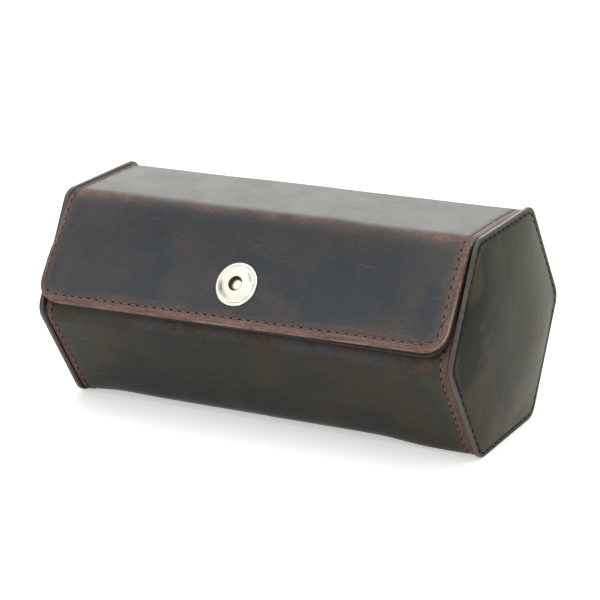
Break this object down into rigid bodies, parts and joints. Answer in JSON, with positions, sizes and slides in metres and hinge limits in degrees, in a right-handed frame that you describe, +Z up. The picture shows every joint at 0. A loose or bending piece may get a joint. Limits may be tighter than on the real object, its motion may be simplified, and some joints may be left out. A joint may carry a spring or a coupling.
{
  "type": "watch travel case",
  "caption": "Hexagonal leather travel case for wrist watches, with sewn end panels, a hinged lid that a brass press stud holds shut, dividers and padded cushions.",
  "frame": {"origin": "centre of the flat base that the case stands on", "axes": "+X along the case to its right end, seen from the front; -Y to the front with the press stud; +Z up"},
  "size_m": [0.1804, 0.0989, 0.086],
  "materials": {
    "brown_leather": "satin",
    "gusset_leather": "matte",
    "suede_lining": "matte",
    "cushion_suede": "matte",
    "stiffening_board": "matte",
    "foam": "matte",
    "brass": "satin",
    "magnet_steel": "satin"
  },
  "bodies": {
    "case": {"wrap_leather": "brown_leather", "hinge_leather": "brown_leather", "left_end_leather": "brown_leather", "right_end_leather": "brown_leather", "left_gusset": "gusset_leather", "right_gusset": "gusset_leather", "wrap_lining": "suede_lining", "hinge_lining": "suede_lining", "left_end_lining": "suede_lining", "right_end_lining": "suede_lining", "left_divider_cover": "suede_lining", "right_divider_cover": "suede_lining", "snap_stud": "brass", "snap_stud_back": "brass", "rear_upper_board": "stiffening_board", "rear_lower_board": "stiffening_board", "base_board": "stiffening_board", "front_lower_board": "stiffening_board", "lip_board": "stiffening_board", "left_end_board": "stiffening_board", "right_end_board": "stiffening_board", "left_divider_board": "stiffening_board", "right_divider_board": "stiffening_board"},
    "lid": {"lid_leather": "brown_leather", "lid_lining": "suede_lining", "lid_top_board": "stiffening_board", "lid_front_board": "stiffening_board", "snap_cap": "brass", "snap_rivet": "brass", "snap_magnet": "magnet_steel", "snap_socket": "brass"},
    "left_cushion": {"left_cushion_core": "foam", "left_cushion_cover": "cushion_suede"},
    "middle_cushion": {"middle_cushion_core": "foam", "middle_cushion_cover": "cushion_suede"},
    "right_cushion": {"right_cushion_core": "foam", "right_cushion_cover": "cushion_suede"}
  },
  "joints": [
    {"name": "lid_hinge", "type": "hinge", "parent": "case", "child": "lid", "pos_m": [0, 0.02385, 0.08431], "axis": [-1, 0, 0], "range_deg": [0, 175], "deforming": ["hinge_leather", "hinge_lining"]},
    {"name": "left_cushion_lift", "type": "slide", "parent": "case", "child": "left_cushion", "axis": [0, 0, 1], "range_m": [0, 0.018]},
    {"name": "middle_cushion_lift", "type": "slide", "parent": "case", "child": "middle_cushion", "axis": [0, 0, 1], "range_m": [0, 0.018]},
    {"name": "right_cushion_lift", "type": "slide", "parent": "case", "child": "right_cushion", "axis": [0, 0, 1], "range_m": [0, 0.018]}
  ]
}
